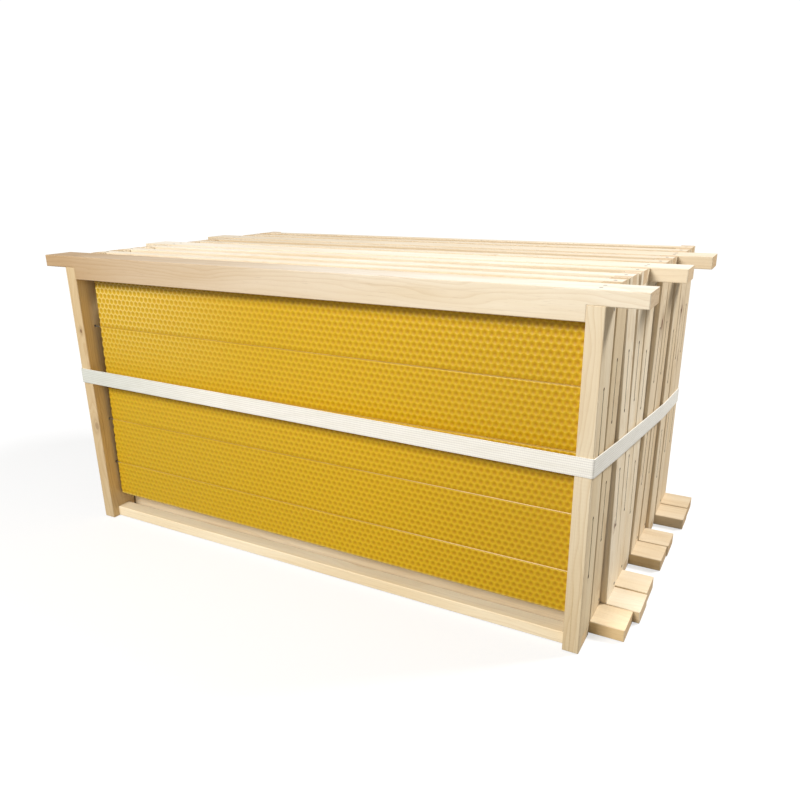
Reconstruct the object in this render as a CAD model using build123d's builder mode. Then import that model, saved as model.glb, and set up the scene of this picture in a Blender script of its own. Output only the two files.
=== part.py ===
from build123d import *
import math
import os
from collections import namedtuple

# A strapped bundle of ten assembled, wired hive frames with wax foundation sheets.
# +X runs to the right along the frames, +Y from the front frame to the back one, +Z up.
# The origin is the centre of the bundle's footprint, at the level of the floor.
# All sizes are in millimetres. On a frame, "down" is measured from the outer face of its
# top bar towards its bottom bar, whichever way up the frame stands.

# ---- bars ----
TOP_BAR_LENGTH = 482.0
FRAME_HEIGHT = 232.0
BAR_WIDTH = 25.0  # of the top bar and the end bars, along Y
TOP_BAR_THICK = 18.2  # between the end bars
LUG_THICK = 9.0
SEAT_DEPTH = 0.2  # the end bars stand this far up in seats under the lugs
END_BAR_OUTER = 218.2  # from the frame's middle to the outer face of an end bar
END_BAR_THICK = 10.6
BOTTOM_BAR_WIDTH = 12.0
BOTTOM_BAR_THICK = 8.7
NOTCH_CLEAR = 0.05  # around the bottom bar in the end bars' notches
EDGE = 0.45  # chamfer of the planed bars

HALF_LENGTH = TOP_BAR_LENGTH / 2
HALF_WIDTH = BAR_WIDTH / 2
END_BAR_INNER = END_BAR_OUTER - END_BAR_THICK
END_BAR_MIDDLE = END_BAR_OUTER - END_BAR_THICK / 2
END_BAR_TOP = LUG_THICK - SEAT_DEPTH

# How far cuts run past the faces they open through.
HOLE_OVERCUT = 3.0
GROOVE_OVERCUT = 1.0

# ---- wax sheet ----
SHEET_THICK = 2.6  # envelope of the embossed wax sheet
SHEET_TOP = 10.2  # down to the sheet's upper edge, inside the groove
SHEET_BOTTOM = 211.0
SHEET_RIGHT_GAP = 0.8  # from the sheet to the right end bar
SHEET_LEFT_GAPS = (8.0, 1.6)  # to the left end bar, at the sheet's top and bottom
SHEET_GROOVE_WIDTH = 3.0
SHEET_GROOVE_DEPTH = 9.0

# ---- wire ----
WIRE_R = 0.25
WIRE_Y = -0.95  # the wires lie just inside the front face of the sheet
WIRE_TRACK_WIDTH = 0.6  # the track that each wire has melted into the wax
WIRE_TRACK_DEPTH = 0.65
WIRE_HOLE_R = 1.0
WIRE_GROOVE_WIDTH = 1.0
WIRE_GROOVE_DEPTH = 1.6
WIRE_GROOVE_GAP = 0.1  # from the groove's floor to the wire
WIRE_BEND_R = 0.6
WIRE_END = 8.0  # length of each wire end outside its hole
WIRES_UPRIGHT = (58.2, 99.3, 140.4, 181.0)  # down
WIRES_INVERTED = (64.4, 105.3, 146.0, 185.2)

# ---- nails and tacks ----
PinShape = namedtuple("PinShape", "radius head_radius head_thick")
NAIL = PinShape(radius=0.8, head_radius=1.2, head_thick=0.8)
TACK = PinShape(radius=0.6, head_radius=1.5, head_thick=0.5)
PIN_CLEAR = 0.03  # around shanks and heads
PIN_TIP_CLEAR = 0.2
LUG_NAIL_LENGTH = 26.0
LUG_NAIL_Y = 4.5  # to either side of the frame's middle
SIDE_NAIL_LENGTH = 22.0
SIDE_NAIL_Y = 9.0
SIDE_NAIL_DOWN = 13.6
BOTTOM_NAIL_LENGTH = 20.0
TACK_LENGTH = 8.0
TACK_GAP = 0.25  # from a wire's end to the rim of the tack's head

# ---- strap and seal ----
STRAP_WIDTH = 12.4
STRAP_THICK = 0.8
STRAP_CLEAR = 0.12
STRAP_CORNER_R = 0.8
STRAP_CORNER_TURN = 30.0  # corners that turn by more degrees than this are rounded
STRAP_Z_FRONT_LEFT = 132.6  # centre line of the band at three corners of the bundle
STRAP_Z_FRONT_RIGHT = 128.6
STRAP_Z_BACK_RIGHT = 104.5
STRAP_BLANK_BOTTOM = 60.0  # the tall ring that the band is trimmed from
STRAP_BLANK_HEIGHT = 120.0
STRAP_TRIM_SIZE = (900.0, 600.0)
STRAP_TRIM_DEPTH = 150.0
SEAL_X = 0.0
SEAL_LENGTH = 26.0
SEAL_WALL = 0.6
SEAL_CLEAR_Y = 0.15  # on each side, through the band's thickness
SEAL_CLEAR_Z = 0.3  # on each side, across the band's width
SEAL_OUTER_R = 0.5
SEAL_INNER_R = 0.1
CRIMP_R = 0.55
CRIMP_X = 5.5  # to either side of the seal's middle
CRIMP_DEPTH = 3.0  # to either side of the band's centre line

# One line per frame, front to back: number, upside down or not, centre along Y,
# and how far the frame sits to the right at its upper and at its lower edge.
Frame = namedtuple("Frame", "number inverted y upper_shift lower_shift")
FRAMES = (
    Frame(1, False, 0.0, 0.0, 0.0),
    Frame(2, True, 26.2, 0.6, 0.2),
    Frame(3, True, 52.0, 1.0, 4.8),
    Frame(4, True, 78.6, 2.2, 4.1),
    Frame(5, False, 104.2, 3.3, 3.3),
    Frame(6, True, 129.7, 7.2, 4.5),
    Frame(7, True, 155.6, 7.2, 5.3),
    Frame(8, False, 181.5, 8.8, 8.0),
    Frame(9, True, 209.0, 8.6, 8.5),
    Frame(10, True, 235.5, 8.6, 8.1),
)
SPLIT_FRAMES = (1, 10)  # the outermost frames have one file for every piece

# ---- centring the bundle ----
TOP_BAR_SHIFTS = [f.lower_shift if f.inverted else f.upper_shift for f in FRAMES]
SEAL_STANDOFF = STRAP_CLEAR + STRAP_THICK + SEAL_CLEAR_Y + SEAL_WALL
FOOTPRINT_FRONT = FRAMES[0].y - HALF_WIDTH - STRAP_CLEAR - STRAP_THICK
FOOTPRINT_BACK = FRAMES[-1].y + HALF_WIDTH + SEAL_STANDOFF
OFFSET_X = -(min(TOP_BAR_SHIFTS) - HALF_LENGTH + max(TOP_BAR_SHIFTS) + HALF_LENGTH) / 2
OFFSET_Y = -(FOOTPRINT_FRONT + FOOTPRINT_BACK) / 2


# ---- places on a frame ----
def lean(frame, z):
    """X shift of a frame at height z. A frame out of square leans evenly over its height."""
    spread = frame.upper_shift - frame.lower_shift
    return OFFSET_X + frame.lower_shift + spread * z / FRAME_HEIGHT


def at(frame, x, down):
    """Bundle X and Z of a point of a frame, from its x off the middle and its down."""
    z = down if frame.inverted else FRAME_HEIGHT - down
    return (x + lean(frame, z), z)


def outline(frame, corners):
    """The corners of a side view in bundle X and Z, from frame positions."""
    return [at(frame, x, down) for x, down in corners]


def four_sided(frame, x_from, x_to, down_from, down_to):
    """The side view of a straight piece that leans with its frame."""
    corners = [(x_from, down_from), (x_to, down_from), (x_to, down_to), (x_from, down_to)]
    return outline(frame, corners)


def middle_y(frame):
    return frame.y + OFFSET_Y


def up(frame):
    """+1 where the frame's top is at the bundle's top, otherwise -1."""
    return -1 if frame.inverted else 1


def wire_downs(frame):
    return WIRES_INVERTED if frame.inverted else WIRES_UPRIGHT


def side_plane(y):
    """A plane at y that faces -Y, with its own axes along X and Z. Negative extrusions go back."""
    return Plane(origin=(0, y, 0), x_dir=(1, 0, 0), z_dir=(0, -1, 0))


# ---- nails and tacks ----
# The point at the outer face of the head, the direction it is driven, its length and its shape.
Pin = namedtuple("Pin", "point way length shape")


def nails(frame):
    """Per side: two through the lug, one through the end bar, one through the bottom bar."""
    middle = middle_y(frame)
    into = -up(frame)  # from the top bar into the frame, along Z
    pins = []
    for side in (-1, 1):
        x, z = at(frame, side * END_BAR_MIDDLE, 0)
        for y in (-LUG_NAIL_Y, LUG_NAIL_Y):
            pins.append(Pin((x, middle + y, z), (0, 0, into), LUG_NAIL_LENGTH, NAIL))
        x, z = at(frame, side * END_BAR_OUTER, SIDE_NAIL_DOWN)
        pins.append(Pin((x, middle + SIDE_NAIL_Y, z), (-side, 0, 0), SIDE_NAIL_LENGTH, NAIL))
        x, z = at(frame, side * END_BAR_MIDDLE, FRAME_HEIGHT)
        pins.append(Pin((x, middle, z), (0, 0, -into), BOTTOM_NAIL_LENGTH, NAIL))
    return pins


def tacks(frame):
    """The two tacks on the left end bar, just beyond the ends of the wire."""
    beyond = WIRE_END + TACK.head_radius + TACK_GAP
    downs = wire_downs(frame)
    pins = []
    for down in (downs[0] - beyond, downs[-1] + beyond):
        x, z = at(frame, -END_BAR_OUTER, down)
        pins.append(Pin((x, middle_y(frame) + WIRE_Y, z), (1, 0, 0), TACK_LENGTH, TACK))
    return pins


def pin_plane(pin):
    """A plane at the outer face of the head whose normal points along the shank."""
    return Plane(origin=pin.point, z_dir=pin.way)


def bores(pin, sink_head, both_ways=False):
    """The radius and depth of each cut for a pin, and whether it also runs outwards."""
    shape = pin.shape
    cuts = [(shape.radius + PIN_CLEAR, pin.length + PIN_TIP_CLEAR, False)]
    if sink_head:
        cuts.append((shape.head_radius + PIN_CLEAR, shape.head_thick + PIN_CLEAR, both_ways))
    return cuts


def pin_set(frame):
    with BuildPart() as pins:
        for pin in nails(frame) + tacks(frame):
            shape = pin.shape
            for radius, length in (
                (shape.radius, pin.length),
                (shape.head_radius, shape.head_thick),
            ):
                with BuildSketch(pin_plane(pin)):
                    Circle(radius)
                extrude(amount=length, mode=Mode.ADD)
    return pins.part


# ---- pieces of a frame ----
def ease_edges(bar):
    """Chamfer the edges around the front and back faces of the bar being built."""
    faces = bar.faces().sort_by(Axis.Y)
    chamfer(faces[0].edges() + faces[-1].edges(), EDGE)


def top_bar(frame):
    """A bar with a lug at each end and seats for the end bars, grooved for the wax sheet."""
    right_half = [
        (HALF_LENGTH, 0),
        (HALF_LENGTH, LUG_THICK),
        (END_BAR_OUTER, LUG_THICK),
        (END_BAR_OUTER, END_BAR_TOP),
        (END_BAR_INNER, END_BAR_TOP),
        (END_BAR_INNER, TOP_BAR_THICK),
    ]
    left_half = [(-x, down) for x, down in reversed(right_half)]
    with BuildPart() as bar:
        with BuildSketch(side_plane(middle_y(frame) - HALF_WIDTH)):
            Polygon(*outline(frame, right_half + left_half), align=None)
        extrude(amount=-BAR_WIDTH)
        ease_edges(bar)
        x, z = at(frame, 0, TOP_BAR_THICK)
        with BuildSketch(Plane.XY.offset(z)):
            with Locations((x, middle_y(frame))):
                Rectangle(2 * (END_BAR_INNER + GROOVE_OVERCUT), SHEET_GROOVE_WIDTH)
        extrude(amount=up(frame) * SHEET_GROOVE_DEPTH, mode=Mode.SUBTRACT)
        for nail in nails(frame):
            for radius, depth, both_ways in bores(nail, sink_head=nail.way[2] != 0):
                with BuildSketch(pin_plane(nail)):
                    Circle(radius)
                extrude(amount=depth, both=both_ways, mode=Mode.SUBTRACT)
    return bar.part


def outside_runs(frame, side):
    """From where to where down the wire runs on the outside of an end bar."""
    first, second, third, fourth = wire_downs(frame)
    if side > 0:
        return ((first, second), (third, fourth))
    return ((second, third), (first - WIRE_END, first), (fourth, fourth + WIRE_END))


def end_bar(frame, side):
    """The left (-1) or right (1) end bar, notched for the bottom bar and cut for the wire."""
    middle = middle_y(frame)
    inner, outer = side * END_BAR_INNER, side * END_BAR_OUTER
    with BuildPart() as bar:
        with BuildSketch(side_plane(middle - HALF_WIDTH)):
            Polygon(*four_sided(frame, inner, outer, END_BAR_TOP, FRAME_HEIGHT), align=None)
        extrude(amount=-BAR_WIDTH)
        ease_edges(bar)

        # Notch for the bottom bar.
        x, z = at(frame, side * END_BAR_MIDDLE, FRAME_HEIGHT)
        with BuildSketch(Plane.XY.offset(z)):
            with Locations((x, middle)):
                Rectangle(END_BAR_THICK + 2 * HOLE_OVERCUT, BOTTOM_BAR_WIDTH + 2 * NOTCH_CLEAR)
        extrude(amount=up(frame) * (BOTTOM_BAR_THICK + NOTCH_CLEAR), mode=Mode.SUBTRACT)

        # Wire holes, and a groove wherever the wire lies outside.
        for down in wire_downs(frame):
            x, z = at(frame, side * (END_BAR_INNER - HOLE_OVERCUT), down)
            with BuildSketch(Plane(origin=(x, middle + WIRE_Y, z), z_dir=(side, 0, 0))):
                Circle(WIRE_HOLE_R)
            extrude(amount=END_BAR_THICK + 2 * HOLE_OVERCUT, mode=Mode.SUBTRACT)
        groove_floor = side * (END_BAR_OUTER - WIRE_GROOVE_DEPTH)
        groove_mouth = side * (END_BAR_OUTER + GROOVE_OVERCUT)
        for start, stop in outside_runs(frame, side):
            with BuildSketch(side_plane(middle + WIRE_Y - WIRE_GROOVE_WIDTH / 2)):
                Polygon(*four_sided(frame, groove_floor, groove_mouth, start, stop), align=None)
            extrude(amount=-WIRE_GROOVE_WIDTH, mode=Mode.SUBTRACT)

        # The outer face leans, so recesses for heads on it are also cut outwards.
        for pin in nails(frame) + tacks(frame):
            if pin.point[0] * side < 0:
                continue
            for radius, depth, both_ways in bores(pin, pin.way[0] != 0, both_ways=True):
                with BuildSketch(pin_plane(pin)):
                    Circle(radius)
                extrude(amount=depth, both=both_ways, mode=Mode.SUBTRACT)
    return bar.part


def bottom_bar(frame):
    """A narrow bar let into the notches of both end bars."""
    upper = FRAME_HEIGHT - BOTTOM_BAR_THICK
    sides = four_sided(frame, -END_BAR_OUTER, END_BAR_OUTER, upper, FRAME_HEIGHT)
    with BuildPart() as bar:
        with BuildSketch(side_plane(middle_y(frame) - BOTTOM_BAR_WIDTH / 2)):
            Polygon(*sides, align=None)
        extrude(amount=-BOTTOM_BAR_WIDTH)
        ease_edges(bar)
        for nail in nails(frame):
            if nail.way[2] * up(frame) <= 0:
                continue
            for radius, depth, both_ways in bores(nail, sink_head=True):
                with BuildSketch(pin_plane(nail)):
                    Circle(radius)
                extrude(amount=depth, both=both_ways, mode=Mode.SUBTRACT)
    return bar.part


def foundation(frame):
    """The wax sheet, with a narrow open track in its front face for each wire."""
    left_top, left_bottom = (gap - END_BAR_INNER for gap in SHEET_LEFT_GAPS)
    right = END_BAR_INNER - SHEET_RIGHT_GAP
    corners = [
        (left_top, SHEET_TOP),
        (right, SHEET_TOP),
        (right, SHEET_BOTTOM),
        (left_bottom, SHEET_BOTTOM),
    ]
    front_y = middle_y(frame) - SHEET_THICK / 2
    with BuildPart() as sheet:
        with BuildSketch(side_plane(front_y)):
            Polygon(*outline(frame, corners), align=None)
        extrude(amount=-SHEET_THICK)
        for down in wire_downs(frame):
            x, z = at(frame, 0, down)
            with BuildSketch(Plane.XY.offset(z - WIRE_TRACK_WIDTH / 2)):
                with Locations((x, front_y)):
                    Rectangle(2 * END_BAR_OUTER, 2 * WIRE_TRACK_DEPTH)
            extrude(amount=WIRE_TRACK_WIDTH, mode=Mode.SUBTRACT)
    return sheet.part


def frame_wire(frame):
    """One length of wire, laced through the end bars so that it crosses the sheet four times."""
    out = END_BAR_OUTER - WIRE_GROOVE_DEPTH + WIRE_R + WIRE_GROOVE_GAP
    first, second, third, fourth = wire_downs(frame)
    path = [
        (-out, first - WIRE_END),
        (-out, first),
        (out, first),
        (out, second),
        (-out, second),
        (-out, third),
        (out, third),
        (out, fourth),
        (-out, fourth),
        (-out, fourth + WIRE_END),
    ]
    with BuildPart() as wire:
        with BuildLine(side_plane(middle_y(frame) + WIRE_Y)) as lace:
            FilletPolyline(*outline(frame, path), radius=WIRE_BEND_R)
        run = lace.wires()[0]
        with BuildSketch(Plane(origin=run @ 0, z_dir=run % 0)):
            Circle(WIRE_R)
        sweep(path=run)
    return wire.part


# ---- the strap's centre line lies in one tilted plane ----
STRAP_LEFT, STRAP_RIGHT = OFFSET_X - END_BAR_OUTER, OFFSET_X + END_BAR_OUTER
BUNDLE_FRONT = middle_y(FRAMES[0]) - HALF_WIDTH
BUNDLE_BACK = middle_y(FRAMES[-1]) + HALF_WIDTH
TILT_X = (STRAP_Z_FRONT_RIGHT - STRAP_Z_FRONT_LEFT) / (STRAP_RIGHT - STRAP_LEFT)
TILT_Y = (STRAP_Z_BACK_RIGHT - STRAP_Z_FRONT_RIGHT) / (BUNDLE_BACK - BUNDLE_FRONT)
STRAP_LEVEL = STRAP_Z_FRONT_LEFT - TILT_X * STRAP_LEFT - TILT_Y * BUNDLE_FRONT


def strap_z(x, y):
    return STRAP_LEVEL + TILT_X * x + TILT_Y * y


def hull(points):
    """The convex hull of plan points, counter-clockwise."""
    points = sorted(set(points))
    halves = []
    for ordered in (points, points[::-1]):
        chain = []
        for point in ordered:
            while len(chain) > 1 and (
                (chain[-1][0] - chain[-2][0]) * (point[1] - chain[-2][1])
                - (chain[-1][1] - chain[-2][1]) * (point[0] - chain[-2][0])
            ) <= 1e-6:
                chain.pop()
            chain.append(point)
        halves.append(chain[:-1])
    return halves[0] + halves[1]


def neighbours(points):
    """Each point of a closed outline, between the one before it and the one after it."""
    return zip(points[-1:] + points[:-1], points, points[1:] + points[:1])


def turn(before, point, after):
    """The angle in degrees by which a path turns at its middle point."""
    first = math.atan2(point[1] - before[1], point[0] - before[0])
    second = math.atan2(after[1] - point[1], after[0] - point[0])
    return math.degrees((second - first + math.pi) % (2 * math.pi) - math.pi)


def outward(start, end):
    """The unit normal to the right of a side, outwards on a counter-clockwise outline."""
    dx, dy = end[0] - start[0], end[1] - start[1]
    length = math.hypot(dx, dy)
    return dy / length, -dx / length


def grown(points, distance):
    """A convex plan outline moved outwards, with its corners kept sharp."""
    moved = []
    for before, point, after in neighbours(points):
        ax, ay = outward(before, point)
        bx, by = outward(point, after)
        scale = distance / (1 + ax * bx + ay * by)
        moved.append((point[0] + scale * (ax + bx), point[1] + scale * (ay + by)))
    return moved


def strap_loop():
    """The hull in plan of all end bars, over the band's width."""
    plan = []
    for frame in FRAMES:
        for y in (middle_y(frame) - HALF_WIDTH, middle_y(frame) + HALF_WIDTH):
            for side, extreme in ((-1, min), (1, max)):
                x = side * END_BAR_OUTER
                z = strap_z(x, y)
                shift = extreme(lean(frame, z + dz) for dz in (-STRAP_WIDTH / 2, STRAP_WIDTH / 2))
                plan.append((round(x + shift, 3), round(y, 3)))
    return hull(plan)


def strap():
    """The band: a tall ring around the bundle, trimmed by two parallel tilted planes."""
    loop = strap_loop()
    main_corners = [
        point
        for before, point, after in neighbours(loop)
        if abs(turn(before, point, after)) > STRAP_CORNER_TURN
    ]
    with BuildPart() as band:
        for distance, radius, mode in (
            (STRAP_CLEAR + STRAP_THICK, STRAP_CORNER_R + STRAP_THICK, Mode.ADD),
            (STRAP_CLEAR, STRAP_CORNER_R, Mode.SUBTRACT),
        ):
            reach = 3 * distance + 0.5  # finds each main corner after it has moved outwards
            with BuildSketch(Plane.XY.offset(STRAP_BLANK_BOTTOM)) as ring:
                Polygon(*grown(loop, distance), align=None)
                corners = [
                    v
                    for v in ring.vertices()
                    if any(math.hypot(v.X - x, v.Y - y) < reach for x, y in main_corners)
                ]
                fillet(corners, radius)
            extrude(amount=STRAP_BLANK_HEIGHT, mode=mode)
        for sign in (-1, 1):
            edge_plane = Plane(
                origin=(0, 0, STRAP_LEVEL + sign * STRAP_WIDTH / 2),
                x_dir=(1, 0, TILT_X),
                z_dir=(-TILT_X, -TILT_Y, 1),
            )
            with BuildSketch(edge_plane):
                Rectangle(*STRAP_TRIM_SIZE)
            extrude(amount=sign * STRAP_TRIM_DEPTH, mode=Mode.SUBTRACT)
    return band.part


def strap_seal():
    """A sleeve around the band in the middle of the back, with two notches in each edge."""
    band_y = BUNDLE_BACK + STRAP_CLEAR + STRAP_THICK / 2
    origin = (SEAL_X, band_y, strap_z(SEAL_X, band_y))
    inner_y = STRAP_THICK + 2 * SEAL_CLEAR_Y
    inner_z = STRAP_WIDTH + 2 * SEAL_CLEAR_Z
    with BuildPart() as seal:
        with BuildSketch(Plane(origin=origin, x_dir=(0, 1, 0), z_dir=(1, 0, TILT_X))):
            RectangleRounded(inner_y + 2 * SEAL_WALL, inner_z + 2 * SEAL_WALL, SEAL_OUTER_R)
            RectangleRounded(inner_y, inner_z, SEAL_INNER_R, mode=Mode.SUBTRACT)
        extrude(amount=SEAL_LENGTH / 2, both=True)
        with BuildSketch(Plane(origin=origin, x_dir=(1, 0, TILT_X), z_dir=(0, 1, 0))):
            for x in (-CRIMP_X, CRIMP_X):
                for sign in (-1, 1):
                    with Locations((x, sign * (inner_z / 2 + SEAL_WALL))):
                        Circle(CRIMP_R)
        extrude(amount=CRIMP_DEPTH, both=True, mode=Mode.SUBTRACT)
    return seal.part


# ---- files ----
def save(item, name):
    item.label = name
    export_step(item, "parts/" + name + ".step")


def save_frame(frame):
    prefix = "frame_%02d_" % frame.number
    save(top_bar(frame), prefix + "top_bar")
    save(bottom_bar(frame), prefix + "bottom_bar")
    save(foundation(frame), prefix + "foundation")
    left, right = end_bar(frame, -1), end_bar(frame, 1)
    wire, pins = frame_wire(frame), pin_set(frame)
    if frame.number in SPLIT_FRAMES:
        save(left, prefix + "left_end_bar")
        save(right, prefix + "right_end_bar")
        save(wire, prefix + "wire")
        save(pins, prefix + "nails")
    else:
        save(Compound(children=[left, right]), prefix + "end_bars")
        pieces = list(wire.solids()) + list(pins.solids())
        save(Compound(children=pieces), prefix + "wire_and_nails")


os.makedirs("parts", exist_ok=True)
for frame in FRAMES:
    save_frame(frame)
save(strap(), "strap")
save(strap_seal(), "strap_seal")
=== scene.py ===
import functools
import math

import bmesh
import bpy
import numpy as np
from mathutils import Matrix, Vector

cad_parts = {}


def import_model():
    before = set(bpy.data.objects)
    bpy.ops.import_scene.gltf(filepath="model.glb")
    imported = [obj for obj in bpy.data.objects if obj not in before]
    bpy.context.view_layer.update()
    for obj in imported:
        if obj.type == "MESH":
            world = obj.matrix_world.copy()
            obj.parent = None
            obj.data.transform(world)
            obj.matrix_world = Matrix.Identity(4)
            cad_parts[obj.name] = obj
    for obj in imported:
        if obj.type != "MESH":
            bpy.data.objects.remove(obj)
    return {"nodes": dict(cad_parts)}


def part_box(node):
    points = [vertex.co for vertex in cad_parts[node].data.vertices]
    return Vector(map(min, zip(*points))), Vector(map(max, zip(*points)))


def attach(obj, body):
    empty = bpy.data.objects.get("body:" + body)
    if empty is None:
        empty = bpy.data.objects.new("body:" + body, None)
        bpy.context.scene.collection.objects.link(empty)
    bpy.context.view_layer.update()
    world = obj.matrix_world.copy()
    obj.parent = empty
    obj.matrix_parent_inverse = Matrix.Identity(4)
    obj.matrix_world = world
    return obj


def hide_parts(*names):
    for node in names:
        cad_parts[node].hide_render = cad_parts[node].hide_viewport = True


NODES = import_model()["nodes"]
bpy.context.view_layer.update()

MM = 0.001
NUMBERS = range(1, 11)
OUTERMOST = (1, 10)  # frames with separate left and right end bars, wire and nails
UPRIGHT = (1, 5, 8)  # the others stand on their top bars
HEIGHT = 232.0
# the four crossings of the wire, as distances from the top of the frame
WIRES_UPRIGHT = (58.2, 99.3, 140.4, 181.0)
WIRES_INVERTED = (64.4, 105.3, 146.0, 185.2)


# ------------------------------------------------------------------ objects and meshes
def vertices_mm(node):
    return np.array([v.co for v in NODES[node].data.vertices], float) * 1000.0


def middle(node):
    low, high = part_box(node)
    return [500.0 * (low[i] + high[i]) for i in range(3)]


def new_mesh(name, points, faces):
    mesh = bpy.data.meshes.new(name)
    mesh.from_pydata(points, [], faces)
    mesh.update()
    return mesh


def add_object(name, data):
    obj = bpy.data.objects.new(name, data)
    bpy.context.scene.collection.objects.link(obj)
    return obj


def add_part(name, mesh, material, body, replaced):
    """Adds a finished mesh in place of a CAD node, moving with a body."""
    mesh.materials.append(material)
    obj = add_object(name, mesh)
    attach(obj, body)
    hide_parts(replaced)


def give(obj, material):
    """Leaves one material on the whole object."""
    obj.data.materials.clear()
    obj.data.materials.append(material)
    for polygon in obj.data.polygons:
        polygon.material_index = 0


# ------------------------------------------------------------------ node trees
WHITE = (1.0, 1.0, 1.0, 1.0)


def srgb(*rgb):
    """8-bit display colour to linear RGBA."""
    shares = [value / 255.0 for value in rgb]
    linear = [s / 12.92 if s <= 0.04045 else ((s + 0.055) / 1.055) ** 2.4 for s in shares]
    return (*linear, 1.0)


def empty_tree(owner):
    owner.use_nodes = True
    owner.node_tree.nodes.clear()
    return owner.node_tree


def fill_inputs(tree, node, inputs):
    """Links or sets a node's inputs, given by name or index."""
    for key, value in inputs.items():
        if isinstance(value, Field):
            value = value.socket
        if isinstance(value, bpy.types.NodeSocket):
            tree.links.new(value, node.inputs[key])
        else:
            node.inputs[key].default_value = value


def add_node(tree, kind, inputs, **settings):
    node = tree.nodes.new("ShaderNode" + kind)
    for key, value in settings.items():
        setattr(node, key, value)
    fill_inputs(tree, node, inputs)
    return node


class Field:
    """An output socket. Arithmetic on it adds Math nodes."""

    def __init__(self, shader, socket):
        self.shader = shader
        self.socket = socket

    def __add__(self, other):
        return self.shader.math("ADD", self, other)

    def __radd__(self, other):
        return self.shader.math("ADD", other, self)

    def __sub__(self, other):
        return self.shader.math("SUBTRACT", self, other)

    def __rsub__(self, other):
        return self.shader.math("SUBTRACT", other, self)

    def __mul__(self, other):
        return self.shader.math("MULTIPLY", self, other)

    def __truediv__(self, other):
        return self.shader.math("DIVIDE", self, other)

    def __pow__(self, other):
        return self.shader.math("POWER", self, other)

    def __abs__(self):
        return self.shader.math("ABSOLUTE", self)

    def ramp(self, low, high, start=0.0, end=1.0, kind="SMOOTHSTEP"):
        """Goes from start, where the field is at low, to end, where it is at high."""
        limits = {"From Min": low, "From Max": high, "To Min": start, "To Max": end}
        return self.shader.add("MapRange", {"Value": self, **limits}, "Result",
                               interpolation_type=kind)


class Shader:
    """A Principled material, and short ways to write its nodes."""

    def __init__(self, name):
        self.material = bpy.data.materials.new(name)
        self.tree = empty_tree(self.material)
        output = add_node(self.tree, "OutputMaterial", {})
        self.principled = add_node(self.tree, "BsdfPrincipled", {})
        self.tree.links.new(self.principled.outputs[0], output.inputs["Surface"])
        self.coordinates = add_node(self.tree, "TexCoord", {})

    def add(self, kind, inputs, output=0, **settings):
        node = add_node(self.tree, kind, inputs, **settings)
        return Field(self, node.outputs[output])

    def math(self, operation, *values):
        return self.add("Math", dict(enumerate(values)), operation=operation)

    def root(self, value):
        return self.math("SQRT", value)

    def largest(self, values):
        return functools.reduce(lambda a, b: self.math("MAXIMUM", a, b), values)

    def place_mm(self):
        inputs = {0: self.coordinates.outputs["Object"], "Scale": 1000.0}
        return self.add("VectorMath", inputs, "Vector", operation="SCALE")

    def split(self, vector):
        node = add_node(self.tree, "SeparateXYZ", {0: vector})
        return [Field(self, node.outputs[i]) for i in range(3)]

    def combine(self, x, y, z):
        return self.add("CombineXYZ", {0: x, 1: y, 2: z})

    def noise(self, place, scale, detail=2.0, rough=0.5):
        """Noise with scale features per unit of place; a tuple gives each axis its own."""
        if isinstance(scale, tuple):
            place = self.add("VectorMath", {0: place, 1: scale}, "Vector", operation="MULTIPLY")
            scale = 1.0
        inputs = {"Vector": place, "Scale": scale, "Detail": detail, "Roughness": rough}
        return self.add("TexNoise", inputs)

    def mix(self, share, base, other, blend="MIX"):
        """The base colour with a share of the other mixed in."""
        return self.add("Mix", {0: share, 6: base, 7: other}, 2,
                        data_type="RGBA", blend_type=blend)

    def times(self, colour, factor):
        return self.mix(1.0, colour, factor, "MULTIPLY")

    def bump(self, height, strength, distance):
        inputs = {"Strength": strength, "Distance": distance, "Height": height}
        return self.add("Bump", inputs)

    def surface(self, **inputs):
        """Feeds the Principled shader; underscores stand for spaces. Returns the material."""
        named = {key.replace("_", " "): value for key, value in inputs.items()}
        fill_inputs(self.tree, self.principled, named)
        return self.material


# ------------------------------------------------------------------ wood
PALE = (0.87, 0.785, 0.635, 1.0)
WARM = (0.78, 0.655, 0.465, 1.0)
LATE = (0.60, 0.425, 0.235, 1.0)
STREAK = (0.45, 0.30, 0.16, 1.0)
SHADE = (0.055, 0.032, 0.018, 1.0)
KNOT = srgb(128, 84, 48)
FACING = (0.72, 0.92)  # range of a normal's component over which a face counts as facing an axis


def knot_field(wood, knot, along, across, through, centre, wobble):
    """A knot's stain, and how far it pushes the rings outwards."""
    knot_along, knot_across, knot_through, radius, dark = knot
    far_along = (along - knot_along) * 0.62  # knots are drawn out along the grain
    far_across = across - (knot_across - centre[0])
    far_through = through - (knot_through - centre[1])
    squares = far_across * far_across + far_through * far_through
    far = wood.root(far_along * far_along + squares)
    far = far + (wobble - 0.5) * 0.8
    swell = wood.math("EXPONENT", (far * far) * (-1.0 / (2 * (radius * 2.4) ** 2)))
    core = far.ramp(radius * 1.15, radius * 0.55)
    halo = far.ramp(radius * 3.2, radius * 1.0) * 0.32
    return wood.largest([core, halo]) * dark, swell * (radius * 2.0)


def groove_mask(wood, grooves, x, y, z):
    """Painted shade: dark lines and holes where the wire runs in the outer faces of the end bars."""
    masks = []
    for side, wire_y, runs, holes, (face, lean) in grooves:
        away = abs(y - wire_y)
        depth = (face * side + z * (lean * side)) - x * side  # inwards from the outer face
        marks = []
        for bottom, top in runs:
            ends = z.ramp(bottom - 0.6, bottom + 0.2) * z.ramp(top + 0.6, top - 0.2)
            marks.append(away.ramp(0.72, 0.46) * ends)
        for hole in holes:
            rise = z - hole
            marks.append(wood.root(away * away + rise * rise).ramp(1.45, 0.95))
        masks.append(wood.largest(marks) * depth.ramp(3.2, 2.6))
    return wood.largest(masks)


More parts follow.
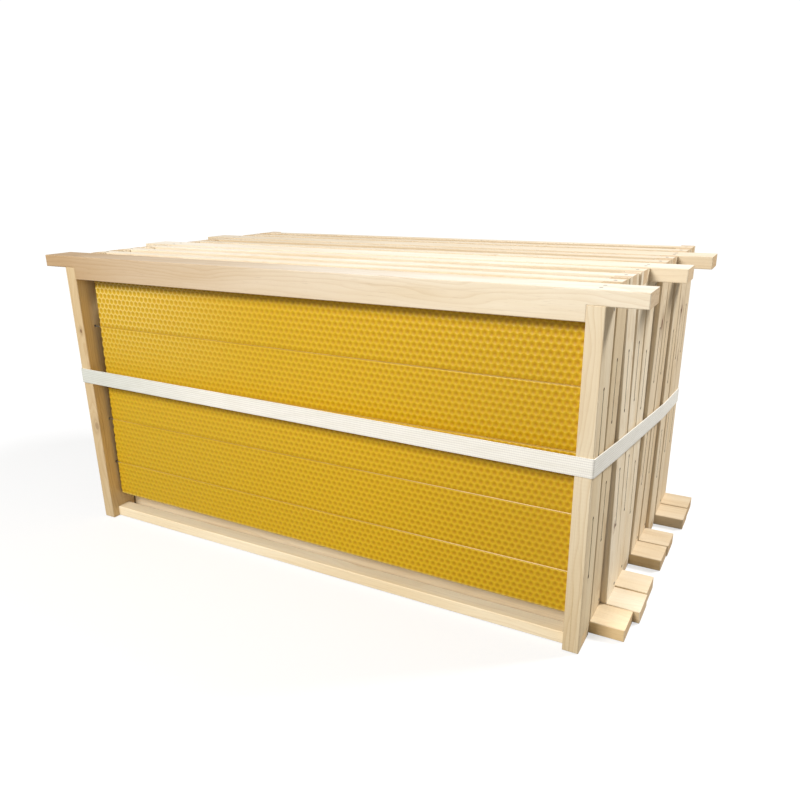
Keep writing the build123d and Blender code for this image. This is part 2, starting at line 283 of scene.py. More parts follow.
def pine(name, axis, rng, tone, pitch, contrast, knots, gradient, grooves, shaded_lug_fronts, lit_inner_face):
    """Planed pale softwood with the grain along 'x' or 'z'. pitch is the ring spacing and
    contrast the strength of the rings; the other arguments are as in the tables below."""
    wood = Shader(name)
    x, y, z = wood.split(wood.place_mm())
    centre = middle(name)
    if axis == "x":
        along, across, through = x, y - centre[1], z - centre[2]
        section = (centre[1], centre[2])
    else:
        along, across, through = z, y - centre[1], x - centre[0]
        section = (centre[1], centre[0])
    shift = [rng.uniform(-400, 400) for _ in range(3)]
    place = wood.combine(along + shift[0], across + shift[1], through + shift[2])

    # Rings round a pith outside the bar, bent by slow noise and by the knots.
    pith_angle = rng.uniform(0, 2 * math.pi)
    pith_far = rng.uniform(28, 75)
    slow = wood.noise(place, (0.0065, 0.03, 0.03))
    medium = wood.noise(place, (0.022, 0.10, 0.10), rough=0.55)
    warp = (slow - 0.5) * 26.0 + (medium - 0.5) * 4.5
    from_pith = across - pith_far * math.cos(pith_angle)
    beside_pith = through - pith_far * math.sin(pith_angle)
    distance = wood.root(from_pith * from_pith + beside_pith * beside_pith)
    stains = []
    for knot in knots:
        stain, push = knot_field(wood, knot, along, across, through, section, medium)
        stains.append(stain)
        warp = warp + push
    rings = (distance + warp) / pitch
    phase = wood.math("FRACT", rings)
    late = phase ** 2.6 * phase.ramp(1.0, 0.90)
    seed = wood.combine(wood.math("FLOOR", rings) * 7.31, shift[1], 0.0)
    each_ring = wood.noise(seed, 1.0, detail=0.0)
    late = late * each_ring.ramp(0.25, 0.75, start=0.35, end=1.0)

    # Noise drawn out along the grain.
    fibre = wood.noise(place, (0.018, 1.7, 1.7), detail=3.0, rough=0.6)
    fine = wood.noise(place, (0.05, 5.0, 5.0), rough=0.6)
    fleck = wood.noise(place, (0.10, 2.9, 2.9), rough=0.55).ramp(0.62, 0.76)
    cloud = wood.noise(place, (0.008, 0.05, 0.05), detail=3.0)

    # The cut ends are speckled with pores.
    normal = wood.split(wood.coordinates.outputs["Normal"])
    ends = abs(normal[0] if axis == "x" else normal[2]).ramp(*FACING)
    speck = wood.noise(place, 2.4, detail=3.0, rough=0.7)

    # Base colour, then rings, fibres, flecks, long streaks and pale fine fibres.
    colour = wood.mix(cloud.ramp(0.25, 0.75), PALE, WARM)
    colour = wood.mix(late * contrast, colour, LATE)
    colour = wood.mix(fibre.ramp(0.35, 0.72) * (0.30 * contrast + 0.06), colour, WARM)
    colour = wood.mix(fleck * 0.22, colour, KNOT)
    streak = wood.noise(place, (0.006, 0.9, 0.9)).ramp(0.58, 0.72)
    colour = wood.mix(streak * (0.42 if axis == "z" else 0.16), colour, STREAK)
    colour = wood.mix(fine.ramp(0.3, 0.8) * 0.10, colour, srgb(250, 240, 218))
    end_colour = wood.mix(speck.ramp(0.35, 0.7), srgb(214, 182, 134), srgb(182, 144, 98))
    end_colour = wood.mix(late * 0.65, end_colour, srgb(160, 116, 70))
    colour = wood.mix(ends * 0.62, colour, end_colour)
    if stains:
        stain = wood.largest(stains)
        inner = wood.mix(fine.ramp(0.3, 0.7), KNOT, srgb(96, 58, 30))
        colour = wood.mix(stain, colour, inner)
    # slow change of colour along the bar, painted shade on frame 1's right end bar
    if gradient is not None:
        begin, stop, start_colour = gradient
        share = (along + (slow - 0.5) * 60.0).ramp(begin, stop, kind="LINEAR")
        colour = wood.times(colour, wood.mix(share, (*start_colour, 1.0), WHITE))
    colour = wood.times(colour, (*tone, 1.0))
    # painted light: upper faces at the top of the bundle whiter, washed out by the light
    top_face_light = normal[2].ramp(*FACING) * z.ramp(90.0, 140.0)
    colour = wood.mix(top_face_light, colour, wood.times(colour, (1.0, 1.05, 1.17, 1.0)))
    if lit_inner_face:
        # painted light: faces towards +x, the inner face of the left end bar, brightened as if lit
        lit_colour = wood.times(colour, (1.40, 1.38, 1.30, 1.0))
        colour = wood.mix(normal[0].ramp(*FACING), colour, lit_colour)
    if shaded_lug_fronts:
        # painted shade: darker, warmer front faces at the bar's outer ends, which stand in the shade
        # of the bundle
        lug_front_shade = (normal[1] * -1.0).ramp(*FACING) * abs(x).ramp(208.0, 214.0)
        colour = wood.mix(lug_front_shade, colour, wood.times(colour, (0.90, 0.82, 0.66, 1.0)))
    # painted shade in the wire's grooves and holes
    if grooves:
        colour = wood.mix(groove_mask(wood, grooves, x, y, z), colour, SHADE)

    # Raised fibres, and planer chatter: faint waves 2.7 mm apart.
    chatter = wood.math("SINE", along * (2 * math.pi / 2.7) + medium * 9.0)
    chatter = chatter * slow.ramp(0.45, 0.62, start=0.0, end=0.16)
    height = (fibre * 0.55 + fine * 0.30) + (late * 0.35 + chatter)
    height = height + (speck * ends) * 1.6
    # fibres and cut ends are rougher, late wood smoother
    rough = 0.56 + (fibre * 0.16 + ends * 0.12)
    rough = rough - late * 0.10
    return wood.surface(Base_Color=colour, Roughness=rough, Specular_IOR_Level=0.32,
                        Normal=wood.bump(height, strength=0.42, distance=0.00022))


WIRE_FORWARD = 0.95  # the wire lies this far in front of the sheet's middle
GROOVE_TAIL = 8  # groove beyond the first and last hole


def outer_face(n, side):
    """The outer face of a frame's end bar: x at the floor, and how far x moves per mm of height."""
    name = ("left_end_bar" if side < 0 else "right_end_bar") if n in OUTERMOST else "end_bars"
    points = vertices_mm("frame_%02d_%s" % (n, name))
    bottom, top = points[:, 2].min(), points[:, 2].max()
    low_x = (points[points[:, 2] < bottom + 0.5][:, 0] * side).max() * side
    high_x = (points[points[:, 2] > top - 0.5][:, 0] * side).max() * side
    slope = (high_x - low_x) / (top - bottom)
    return float(low_x - slope * bottom), float(slope)


def grooves_of(n):
    """Per side: (side, y, (bottom, top) of each groove, heights of the holes, outer face)."""
    y = middle("frame_%02d_foundation" % n)[1] - WIRE_FORWARD
    wires = [HEIGHT - w for w in WIRES_UPRIGHT] if n in UPRIGHT else list(WIRES_INVERTED)
    tail = GROOVE_TAIL if wires[3] > wires[0] else -GROOVE_TAIL

    def span(a, b):
        return min(a, b), max(a, b)

    right_runs = (span(wires[0], wires[1]), span(wires[2], wires[3]))
    left_runs = (span(wires[1], wires[2]), span(wires[0] - tail, wires[0]),
                 span(wires[3], wires[3] + tail))
    return (
        (1, y, right_runs, wires, outer_face(n, 1)),
        (-1, y, left_runs, wires, outer_face(n, -1)),
    )


# Colour multiplier of each frame's bars, from nearly white to a warmer straw.
FRAME_TONE = {
    1: (0.98, 0.985, 1.0), 2: (0.97, 0.95, 0.92),
    3: (0.99, 0.98, 0.97), 4: (0.98, 0.955, 0.92),
    5: (1.00, 0.99, 0.975), 6: (0.91, 0.86, 0.79),
    7: (0.87, 0.81, 0.73), 8: (0.89, 0.84, 0.77),
    9: (0.86, 0.80, 0.72), 10: (0.86, 0.80, 0.72),
}
# Single bars that differ from the rest of their frame.
BAR_TONE = {
    "frame_01_left_end_bar": (0.76, 0.66, 0.50),
    "frame_01_right_end_bar": (0.94, 0.92, 0.88),
    # frame 2's end bars are darkened as painted shade for the shaded gap between them and frame 1's
    # end bar
    "frame_02_end_bars": (0.82, 0.76, 0.66),
    "frame_01_bottom_bar": (1.10, 1.06, 0.96),
    "frame_02_top_bar": (1.0, 0.95, 0.86),
}
# Knots in the end bars: z, y, x, radius, darkness.
KNOTS = {
    "frame_01_left_end_bar": (
        (87.6, -130.6, -215.2, 2.6, 0.45), (171.2, -130.6, -216.0, 1.2, 0.8)),
    "frame_01_right_end_bar": ((51.2, -120.1, 213.8, 1.0, 0.5),),
    "frame_03_end_bars": ((65.2, -70.6, 217.8, 1.5, 0.9),),
    "frame_06_end_bars": ((187.5, 16.5, 221.8, 3.4, 0.95),),
    "frame_09_end_bars": (
        (185.7, 93.0, 221.8, 3.0, 0.9), (143.1, 102.8, 221.8, 2.4, 0.9)),
}
# Slow changes of tone along a bar: start, stop, colour multiplier at the start. On frame 1's right
# end bar this is painted shade, darker towards the floor.
GRADIENT = {
    "frame_01_top_bar": (-215.0, 150.0, (0.60, 0.47, 0.34)),
    # painted shade: darker towards the floor
    "frame_01_right_end_bar": (0.0, 225.0, (0.88, 0.84, 0.75)),
}
# frames whose feet get painted shade on their front faces
SHADED_LUG_FRAMES = (2, 3, 4, 6, 7)
# the bar whose inner face gets painted light
LIT_INNER_BAR = "frame_01_left_end_bar"
# Long bars: part, grain axis, range of ring pitch, range of contrast.
LONG_BARS = (
    ("top_bar", "x", (2.6, 3.8), (0.30, 0.50)),
    ("bottom_bar", "x", (2.0, 3.2), (0.35, 0.60)),
)
END_BAR = ("z", (1.7, 2.6), (0.55, 0.85))


def wooden_bars(n):
    rng = np.random.default_rng(4100 + n)
    end_parts = ("left_end_bar", "right_end_bar") if n in OUTERMOST else ("end_bars",)
    for part, axis, pitches, contrasts in (*LONG_BARS, *((p, *END_BAR) for p in end_parts)):
        node = "frame_%02d_%s" % (n, part)
        material = pine(
            node, axis, rng,
            tone=BAR_TONE.get(node, FRAME_TONE[n]),
            pitch=rng.uniform(*pitches),
            contrast=rng.uniform(*contrasts),
            knots=KNOTS.get(node, ()),
            gradient=GRADIENT.get(node),
            grooves=grooves_of(n) if axis == "z" else (),
            shaded_lug_fronts=part == "top_bar" and n in SHADED_LUG_FRAMES,
            lit_inner_face=node == LIT_INNER_BAR,
        )
        give(NODES[node], material)


for n in NUMBERS:
    wooden_bars(n)


# ------------------------------------------------------------------ steel
def steel(name, base, rough, scale, metallic):
    """Steel with fine drawing lines and dull patches; scale sets how small the patches are."""
    metal = Shader(name)
    place = metal.place_mm()
    dull = metal.noise(place, 0.9 * scale, detail=3.0, rough=0.6)
    line = metal.noise(place, (0.15, 6.0, 6.0))
    dull_base = tuple(0.62 * value for value in base[:3]) + (1.0,)
    height = line * 0.6 + dull * 0.6
    return metal.surface(Base_Color=metal.mix(dull.ramp(0.35, 0.7), base, dull_base),
                         Metallic=metallic, Roughness=rough + dull * 0.25,
                         Normal=metal.bump(height, strength=0.35, distance=0.00006))


def laced_wire():
    """Galvanised wire: filmed with wax where it crosses the sheet, with a painted highlight towards
    the lower right; dull and grey in the end bars, with painted shade in their grooves.
    """
    wire = Shader("galvanised_wire")
    place = wire.place_mm()
    x, _, z = wire.split(place)
    film = wire.noise(place, (0.06, 1.0, 0.5), detail=3.0, rough=0.6)
    dull = wire.noise(place, 1.8, detail=3.0, rough=0.6)
    inside = abs(x).ramp(207.5, 205.5)  # between the end bars
    metal = wire.mix(dull.ramp(0.35, 0.7), (0.34, 0.33, 0.31, 1.0), (0.20, 0.19, 0.17, 1.0))
    waxed = wire.mix(film.ramp(0.35, 0.7), srgb(176, 140, 42), srgb(190, 158, 78))
    # painted highlight: lighter towards the lower right, where the lower wires glint
    wire_glint = x.ramp(20.0, 190.0) * z.ramp(120.0, 95.0)
    waxed = wire.mix(wire_glint, waxed, srgb(232, 208, 150))
    # painted shade: near black where the wire lies in the end bars' grooves
    groove_shade = abs(x).ramp(214.0, 215.5)
    metal = wire.mix(groove_shade, metal, (0.05, 0.04, 0.03, 1.0))
    return wire.surface(Base_Color=wire.mix(inside, metal, waxed),
                        Metallic=(1.0 - inside) * 0.85, Roughness=0.58 + dull * 0.25,
                        Normal=wire.bump(dull, strength=0.3, distance=0.00005))


WIRE_STEEL = laced_wire()
NAIL_STEEL = steel("nail_steel", base=(0.50, 0.44, 0.35, 1.0), rough=0.42, scale=1.0, metallic=0.4)
SEAL_STEEL = steel("seal_steel", base=(0.66, 0.67, 0.68, 1.0), rough=0.26, scale=0.5, metallic=1.0)
for n in NUMBERS:
    prefix = "frame_%02d_" % n
    if n in OUTERMOST:
        give(NODES[prefix + "wire"], WIRE_STEEL)
        give(NODES[prefix + "nails"], NAIL_STEEL)
    else:
        give(NODES[prefix + "wire_and_nails"], WIRE_STEEL)
give(NODES["strap_seal"], SEAL_STEEL)


# ------------------------------------------------------------------ wax
def wax_material():
    """Beeswax foundation: amber, with painted shade in the cell bottoms, painted light on the walls
    and crests, painted highlights and a painted sheen towards the left.
    """
    wax = Shader("beeswax")
    place = wax.place_mm()
    relief = wax.add("Attribute", {}, "Fac", attribute_name="relief")
    cloud = wax.noise(place, (0.012, 0.2, 0.012), detail=3.0, rough=0.55)
    grainy = wax.noise(place, 1.6, detail=3.0, rough=0.6)
    x, _, z = wax.split(place)
    # painted shade and light on the relief: darker amber in the cell bottoms, lighter yellow on the
    # walls and crests; then clouds and grain
    colour = wax.mix(relief.ramp(0.0, 1.0), srgb(187, 139, 0), srgb(212, 171, 10))
    colour = wax.mix(relief.ramp(0.75, 1.0) * 0.22, colour, srgb(220, 188, 50))
    colour = wax.mix(cloud.ramp(0.3, 0.75) * 0.25, colour, srgb(202, 160, 8))
    colour = wax.mix(grainy.ramp(0.45, 0.8) * 0.10, colour, srgb(218, 188, 60))
    # painted sheen: a pale, even haze towards the left
    left_sheen = (x + (cloud - 0.5) * 160.0).ramp(110.0, -200.0) * 0.55
    colour = wax.mix(left_sheen, colour, srgb(196, 160, 36))
    # painted highlights: bright crests at the upper left, and a pale lower rim where the sheet's
    # edge catches the light
    glint = relief.ramp(0.55, 1.0) * (x.ramp(-20.0, -190.0) * z.ramp(120.0, 215.0))
    colour = wax.mix(glint * 0.5, colour, srgb(248, 226, 150))
    colour = wax.mix(z.ramp(22.4, 21.4) * 0.6, colour, srgb(236, 206, 110))
    # deeper towards the lower right
    lower_right_darkening = x.ramp(20.0, 230.0) * z.ramp(260.0, 60.0, start=0.4, end=1.0)
    colour = wax.mix(lower_right_darkening, colour, wax.times(colour, (0.88, 0.87, 0.9, 1.0)))
    height = grainy * 0.5 + wax.noise(place, 5.0) * 0.3
    return wax.surface(Base_Color=colour, Roughness=0.34 + grainy * 0.18,
                       Normal=wax.bump(height, strength=0.25, distance=0.00015),
                       Specular_IOR_Level=0.45, Subsurface_Weight=0.12,
                       Subsurface_Radius=(1.0, 0.45, 0.08), Subsurface_Scale=0.0012)


WAX = wax_material()

CELL = 4.64  # across the flats, along the frame
ROW = 4.11  # from one row of cells to the next
CREST = 1.3  # half thickness of the sheet over the cell walls
PIT = 0.62  # and over the cell bottoms
TRACK = 0.85  # half width of the dent along a wire
TRACK_DEPTH = 0.62  # half thickness left under it
# the outline; top and bottom are distances down from the top of the frame
SHEET_TOP, SHEET_BOTTOM = 10.2, 211.0
SHEET_RIGHT = 206.8
SHEET_LEFT_TOP, SHEET_LEFT_BOTTOM = -199.6, -206.0

# Rings of a cell from the wall inwards: share of the cell's radius, half thickness.
FINE = ((0.86, 1.2), (0.14, PIT))
PLAIN = ((0.30, PIT),)
POINTED = ()


def bisect(grid, point, normal, clear_outer=False):
    bmesh.ops.bisect_plane(
        grid, geom=grid.verts[:] + grid.edges[:] + grid.faces[:], dist=1e-4,
        plane_co=Vector(point), plane_no=Vector(normal), clear_outer=clear_outer)


def embossed_face(rings, tracks):
    """One face of a sheet, cut to its outline, in sheet coordinates: x, depth, and distance down
    from the top of the frame. The last ring is closed by a flat bottom; without rings, six facets
    meet in a point. tracks are the distances down at which a wire is pressed in."""
    radius = CELL / math.sqrt(3)
    tall = ROW / (CELL * math.sqrt(3) / 2)
    angles = [math.radians(30 + 60 * k) for k in range(6)]
    corners = [(math.cos(angle), tall * math.sin(angle)) for angle in angles]
    grid = bmesh.new()
    shared = {}

    def wall(x, down):
        key = (round(x * 20), round(down * 20))
        if key not in shared:
            shared[key] = grid.verts.new((x, -CREST, down))
        return shared[key]

    row = 0
    down = SHEET_TOP - radius
    while down < SHEET_BOTTOM + radius:
        x = SHEET_LEFT_BOTTOM - radius - (CELL / 2 if row % 2 else 0)
        while x < SHEET_RIGHT + radius:
            outer = [wall(x + radius * cx, down + radius * cz) for cx, cz in corners]
            for share, depth in rings:
                inner = [
                    grid.verts.new((x + share * radius * cx, -depth, down + share * radius * cz))
                    for cx, cz in corners
                ]
                for k in range(6):
                    m = (k + 1) % 6
                    grid.faces.new((outer[k], outer[m], inner[m], inner[k]))
                outer = inner
            if rings:
                grid.faces.new(outer)
            else:
                bottom = grid.verts.new((x, -PIT, down))
                for k in range(6):
                    grid.faces.new((outer[k], outer[(k + 1) % 6], bottom))
            x += CELL
        down += ROW
        row += 1

    left = Vector((SHEET_LEFT_BOTTOM - SHEET_LEFT_TOP, 0, SHEET_BOTTOM - SHEET_TOP))
    left_normal = Vector((-left.z, 0, left.x)).normalized()
    for point, outward in (
        ((0, 0, SHEET_TOP), (0, 0, -1)),
        ((0, 0, SHEET_BOTTOM), (0, 0, 1)),
        ((SHEET_RIGHT, 0, 0), (1, 0, 0)),
        ((SHEET_LEFT_TOP, 0, SHEET_TOP), left_normal),
    ):
        bisect(grid, point, outward, clear_outer=True)
    for track in tracks:
        for down in (track - TRACK, track, track + TRACK):
            bisect(grid, (0, 0, down), (0, 0, 1))
        for v in grid.verts:
            share = abs(v.co.z - track) / TRACK
            if share < 0.999:
                v.co.y = max(v.co.y, -(TRACK_DEPTH + (CREST - TRACK_DEPTH) * share))
    return grid


def rim_place(point):
    """How far round the sheet's outline a rim point is, as side number plus share of that side."""
    x, _, z = point
    down = (z - SHEET_TOP) / (SHEET_BOTTOM - SHEET_TOP)
    left = SHEET_LEFT_TOP + (SHEET_LEFT_BOTTOM - SHEET_LEFT_TOP) * down
    across = (x - left) / (SHEET_RIGHT - left)
    near = 2e-3
    on_top = abs(z - SHEET_TOP) < near
    on_right = abs(SHEET_RIGHT - x) < near
    on_bottom = abs(SHEET_BOTTOM - z) < near
    on_left = abs(x - left) < near
    if on_top and not on_right:
        return 0 + across
    if on_right and not on_bottom:
        return 1 + down
    if on_bottom and not on_left:
        return 2 + 1 - across
    return 3 + 1 - down


def one_side(rings, tracks=()):
    """Vertices, faces facing -depth, and the rim's vertex indices in order round the outline."""
    grid = embossed_face(rings, tracks)
    bmesh.ops.remove_doubles(grid, verts=grid.verts[:], dist=0.004)
    grid.normal_update()
    grid.verts.index_update()
    points = np.array([v.co for v in grid.verts], float)
    faces = [[v.index for v in f.verts] for f in grid.faces]
    if sum(f.normal.y for f in grid.faces) > 0:
        faces = [f[::-1] for f in faces]
    open_edges = [e for e in grid.edges if len(e.link_faces) == 1]
    rim = sorted({v.index for e in open_edges for v in e.verts})
    rim.sort(key=lambda i: rim_place(points[i]))
    grid.free()
    return points, faces, rim


def closed_sheet(front, back):
    """Vertices, embossed faces and rim faces of two sides set back to back."""
    front_points, front_faces, front_rim = front
    back_points, back_faces, back_rim = back
    count = len(front_points)
    back_points = back_points * (1, -1, 1)
    faces = front_faces + [[i + count for i in f[::-1]] for f in back_faces]

    def places(points, rim):
        around = [rim_place(points[i]) for i in rim]
        return around + [around[0] + 4]

    front_at = places(front_points, front_rim)
    back_at = places(back_points, back_rim)
    a = front_rim + [front_rim[0]]
    b = [i + count for i in back_rim] + [back_rim[0] + count]
    # zip the rims up, always stepping along the one that is behind
    i = j = 0
    strip = []
    while i < len(a) - 1 or j < len(b) - 1:
        if j == len(b) - 1 or (i < len(a) - 1 and front_at[i + 1] <= back_at[j + 1]):
            strip.append((a[i], b[j], a[i + 1]))
            i += 1
        else:
            strip.append((a[i], b[j], b[j + 1]))
            j += 1
    return np.vstack([front_points, back_points]), faces, strip


# The wire is pressed into the front; only the outer faces of the bundle are finely embossed.
PLAIN_BACK = one_side(PLAIN)
SHEETS = {
    "first": closed_sheet(one_side(FINE, WIRES_UPRIGHT), one_side(POINTED)),
    "last": closed_sheet(one_side(POINTED, WIRES_INVERTED), one_side(FINE)),
    "upright": closed_sheet(one_side(PLAIN, WIRES_UPRIGHT), PLAIN_BACK),
    "inverted": closed_sheet(one_side(PLAIN, WIRES_INVERTED), PLAIN_BACK),
}


def foundation(n):
    """The embossed sheet of one frame, leaning like the CAD sheet it replaces."""
    node = "frame_%02d_foundation" % n
    cad = vertices_mm(node)
    z_low, z_high = cad[:, 2].min(), cad[:, 2].max()
    right_low = cad[cad[:, 2] < z_low + 0.5][:, 0].max()
    right_high = cad[cad[:, 2] > z_high - 0.5][:, 0].max()
    y_middle = (cad[:, 1].min() + cad[:, 1].max()) / 2
    upright = n in UPRIGHT
    kind = {1: "first", 10: "last"}.get(n, "upright" if upright else "inverted")
    points, embossed, rim = SHEETS[kind]
    z = HEIGHT - points[:, 2] if upright else points[:, 2]
    share = (z - z_low) / (z_high - z_low)
    lean = right_low + (right_high - right_low) * share - SHEET_RIGHT
    placed = np.stack([points[:, 0] + lean, points[:, 1] + y_middle, z], 1) * MM
    faces = [tuple(f) for f in embossed + rim]
    if upright:
        faces = [f[::-1] for f in faces]
    mesh = new_mesh(node + "_embossed", placed.tolist(), faces)
    smooth = np.ones(len(faces), bool)
    smooth[len(embossed):] = False
    mesh.polygons.foreach_set("use_smooth", smooth)
    # 0 at the cell bottoms, 1 on the crests
    relief = (np.abs(points[:, 1]) - PIT) / (CREST - PIT)
    attribute = mesh.attributes.new("relief", "FLOAT", "POINT")
    attribute.data.foreach_set("value", relief.astype(np.float32))
    add_part(node + "_embossed", mesh, WAX, "frame_%02d" % n, node)


for n in NUMBERS:
    foundation(n)


# ------------------------------------------------------------------ band
RIBS = 8
RIBBED_WIDTH = 12.4  # width over which the material lays its ribs
WEFT_PITCH = 1.15
BAND_THICK = 0.8
RIB_DEPTH = 0.10
BAND_STEP = 1.6  # between sections, about
EDGE_INSET = 0.12  # width of the bevel along the band's edges


def band_material():
    """Woven plastic band: ribs along it, slanted weft between them."""
    weave = Shader("woven_band")
    u, v, _ = weave.split(weave.coordinates.outputs["UV"])
    along = u * 1.0  # one UV unit is one millimetre
    across = v * 1.0
    weft = weave.math("SINE", along * (2 * math.pi / WEFT_PITCH) + across * 3.6)
    rib = weave.math("COSINE", across * (2 * math.pi * RIBS / RIBBED_WIDTH))
    cell = weft * rib
    soft = weave.noise(weave.combine(along * 0.05, across * 0.3, 0.0), 1.0, detail=3.0)
    thread = weave.noise(weave.combine(along * 3.0, across * 6.0, 0.0), 1.0)
    # off-white weave, greyer between the ribs and in soft patches
    colour = weave.mix(cell.ramp(-1.0, 0.8), srgb(234, 231, 222), srgb(247, 245, 237))
    colour = weave.mix(rib.ramp(0.2, -0.95) * 0.40, colour, srgb(198, 193, 191))
    colour = weave.mix(soft.ramp(0.35, 0.75) * 0.30, colour, srgb(218, 214, 200))
    # painted shade: darker towards the left
    x = weave.split(weave.place_mm())[0]
    darker = weave.times(colour, (0.78, 0.82, 0.82, 1.0))
    colour = weave.mix(x.ramp(-50.0, -225.0), colour, darker)
    height = cell * 0.6 + thread * 0.4
    return weave.surface(Base_Color=colour, Roughness=0.42 + thread * 0.2,
                         Normal=weave.bump(height, strength=0.5, distance=0.00018),
                         Specular_IOR_Level=0.45)


def outline_in_plan(points):
    """Convex outline of the points seen from above, anticlockwise."""
    flat = sorted(set((round(p[0], 3), round(p[1], 3)) for p in points))
    outline = []
    for sequence in (flat, flat[::-1]):
        chain = []
        for p in sequence:
            while len(chain) > 1 and (
                (chain[-1][0] - chain[-2][0]) * (p[1] - chain[-2][1])
                - (chain[-1][1] - chain[-2][1]) * (p[0] - chain[-2][0])
            ) <= 1e-9:
                chain.pop()
            chain.append(p)
        outline += chain[:-1]
    return np.array(outline)


def resample(outline):
    """Points, outward normals and distances at even steps on each side, and the whole length."""
    count = len(outline)
    sides = [outline[(i + 1) % count] - outline[i] for i in range(count)]
    lengths = [float(np.hypot(*side)) for side in sides]
    directions = [side / max(length, 1e-9) for side, length in zip(sides, lengths)]
    side_normals = [np.array((d[1], -d[0])) for d in directions]
    ring, normals, distances = [], [], []
    total = 0.0
    for i in range(count):
        corner = side_normals[i - 1] + side_normals[i]
        corner /= np.hypot(*corner)
        steps = max(1, int(round(lengths[i] / BAND_STEP)))
        for k in range(steps):
            share = k / steps
            ring.append(outline[i] + directions[i] * lengths[i] * share)
            normals.append(corner if k == 0 else side_normals[i])
            distances.append(total + lengths[i] * share)
        total += lengths[i]
    return np.array(ring), np.array(normals), np.array(distances), total


def band_profile(half):
    """Section of the band: height from its middle, distance out from the CAD surface."""
    ribbed = [
        (share * (half - EDGE_INSET),
         RIB_DEPTH * (math.cos(math.pi * RIBS * (share + 1)) * 0.5 - 0.5))
        for share in np.linspace(-1, 1, RIBS * 4 + 1)
    ]
    inner = [(share * (half - EDGE_INSET), -BAND_THICK + 0.02) for share in np.linspace(1, -1, 9)]
    top_edge = [(half, -0.22), (half, -BAND_THICK + 0.2)]
    bottom_edge = [(-height, out) for height, out in top_edge[::-1]]
    return np.array(ribbed + top_edge + inner + bottom_edge)


def band():
    cad = vertices_mm("strap")
    # the plane halfway between the band's two edges
    plan = np.stack([cad[:, 0], cad[:, 1], np.ones(len(cad))], 1)
    slope_x, slope_y, base_z = plane = np.linalg.lstsq(plan, cad[:, 2], rcond=None)[0]
    above = cad[:, 2] - plan @ plane
    half = (above.max() - above.min()) / 2 - 0.05
    middle_z = base_z + (above.max() + above.min()) / 2

    ring, normals, distances, total = resample(outline_in_plan(cad))
    profile = band_profile(half)
    # slow wander of the band up and down, closed round the loop
    turn = 2 * np.pi * distances / total
    wander = 0.05 * np.sin(7 * turn + 0.4) + 0.04 * np.sin(19 * turn + 1.9)
    x = ring[:, :1] + normals[:, :1] * profile[:, 1]
    y = ring[:, 1:] + normals[:, 1:] * profile[:, 1]
    z = slope_x * x + slope_y * y + middle_z + profile[:, 0] + wander[:, None] * 0.5
    points = np.stack([x, y, z], 2).reshape(-1, 3) * MM

    # UVs are mm along and mm across the band
    count, size = len(ring), len(profile)
    along = np.append(distances, total)
    faces, uvs = [], []
    for j in range(size):
        k = (j + 1) % size
        low, high = profile[j, 0], profile[k, 0]
        for i in range(count):
            here, ahead = i * size, (i + 1) % count * size
            faces.append((here + j, ahead + j, ahead + k, here + k))
            uvs += [(along[i], low), (along[i + 1], low), (along[i + 1], high), (along[i], high)]
    mesh = new_mesh("woven_band", points.tolist(), faces)
    layer = mesh.uv_layers.new(name="weave")
    layer.uv.foreach_set("vector", np.array(uvs, np.float32).ravel())
    mesh.polygons.foreach_set("use_smooth", np.ones(len(faces), bool))
    shell = bmesh.new()
    shell.from_mesh(mesh)
    bmesh.ops.recalc_face_normals(shell, faces=shell.faces[:])
    shell.to_mesh(mesh)
    shell.free()
    add_part("strap_woven", mesh, band_material(), "frame_01", "strap")


band()


# ------------------------------------------------------------------ stage and world
BACKDROP = {"Color": WHITE, "Strength": 1.05}  # even white behind everything


def split_by_ray(tree, output, lit, seen):
    """Shows one shader to the camera and lets the other light the scene."""
    path = add_node(tree, "LightPath", {})
    inputs = {0: path.outputs["Is Camera Ray"], 1: lit.outputs[0], 2: seen.outputs[0]}
    mix = add_node(tree, "MixShader", inputs)
    tree.links.new(mix.outputs[0], output.inputs["Surface"])


def stage_material():
    """A floor that runs out into an even white sweep between 0.42 and 0.75 m from the middle."""
    material = bpy.data.materials.new("studio_floor")
    tree = empty_tree(material)
    output = add_node(tree, "OutputMaterial", {})
    near = add_node(tree, "BsdfDiffuse", {"Color": (0.97, 0.98, 1.0, 1)})
    lit = add_node(tree, "BsdfDiffuse", {"Color": (0.30, 0.29, 0.27, 1)})
    glow = add_node(tree, "Emission", BACKDROP)
    place = add_node(tree, "TexCoord", {}).outputs["Object"]
    length = add_node(tree, "VectorMath", {0: place}, operation="LENGTH").outputs["Value"]
    limits = {"From Min": 0.42, "From Max": 0.75, "To Min": 0.6}
    far = add_node(tree, "MapRange", {**limits, "Value": length}, interpolation_type="SMOOTHSTEP")
    inputs = {0: far.outputs["Result"], 1: near.outputs[0], 2: glow.outputs[0]}
    split_by_ray(tree, output, lit, seen=add_node(tree, "MixShader", inputs))
    return material


def stage():
    reach, level = 6, -0.0004
    corners = [(x * reach, y * reach, level) for x, y in ((-1, -1), (1, -1), (1, 1), (-1, 1))]
    floor = add_object("floor", new_mesh("floor", corners, [(0, 1, 2, 3)]))
    floor.data.materials.append(stage_material())


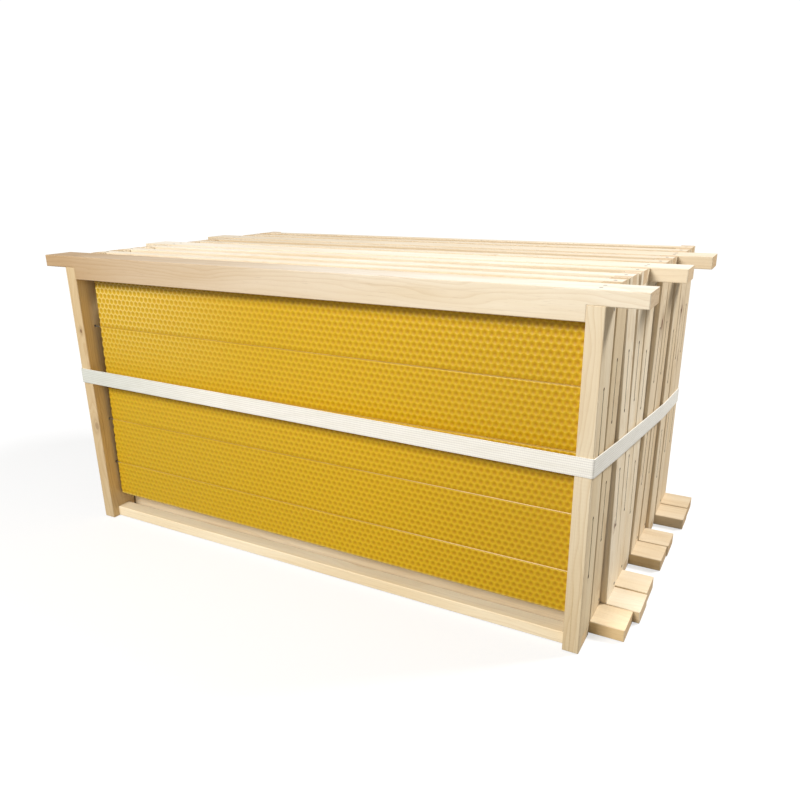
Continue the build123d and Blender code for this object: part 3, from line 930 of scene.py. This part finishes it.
def studio_world():
    world = bpy.data.worlds.new("studio")
    bpy.context.scene.world = world
    tree = empty_tree(world)
    output = add_node(tree, "OutputWorld", {})
    seen = add_node(tree, "Background", BACKDROP)
    lit = add_node(tree, "Background", {"Color": (1.0, 0.97, 0.90, 1), "Strength": 0.28})
    split_by_ray(tree, output, lit, seen)


stage()
studio_world()


# ------------------------------------------------------------------ lights and camera
def softbox(name, place, target, width, height, power, colour=(1, 1, 1)):
    data = bpy.data.lights.new(name, "AREA")
    data.shape = "RECTANGLE"
    data.size, data.size_y = width, height
    data.energy = power
    data.color = colour
    obj = add_object(name, data)
    obj.location = place
    obj.rotation_mode = "QUATERNION"
    obj.rotation_quaternion = (Vector(target) - Vector(place)).to_track_quat("-Z", "Y")


softbox("key", place=(-0.28, -1.4, 1.0), target=(0.0, -0.1, 0.12),
        width=0.6, height=0.5, power=26, colour=(1.0, 0.985, 0.965))
softbox("fill_back_right", place=(0.97, 0.70, 1.18), target=(0.1, 0.0, 0.12),
        width=0.45, height=0.45, power=25)

# Heading anticlockwise from +y, tilt below the horizon and roll, in radians.
HEADING, TILT, ROLL = 0.504596806, 0.340308503, -0.0136583
EYE = Vector((0.304960, -0.524931, 0.293829))


def camera():
    forward = Vector((
        -math.sin(HEADING) * math.cos(TILT),
        math.cos(HEADING) * math.cos(TILT),
        -math.sin(TILT),
    ))
    level_right = forward.cross(Vector((0, 0, 1))).normalized()
    level_up = level_right.cross(forward).normalized()
    right = level_right * math.cos(ROLL) + level_up * math.sin(ROLL)
    up = level_up * math.cos(ROLL) - level_right * math.sin(ROLL)
    data = bpy.data.cameras.new("camera")
    data.sensor_width = 36.0
    data.lens = 32.679315
    data.shift_x = -0.00195625
    data.shift_y = 0.0341475
    data.clip_start = 0.01
    obj = add_object("camera", data)
    turned = Matrix((right, up, -forward)).transposed().to_4x4()
    obj.matrix_world = Matrix.Translation(EYE) @ turned
    bpy.context.scene.camera = obj


camera()
bpy.context.scene.view_settings.view_transform = "Standard"
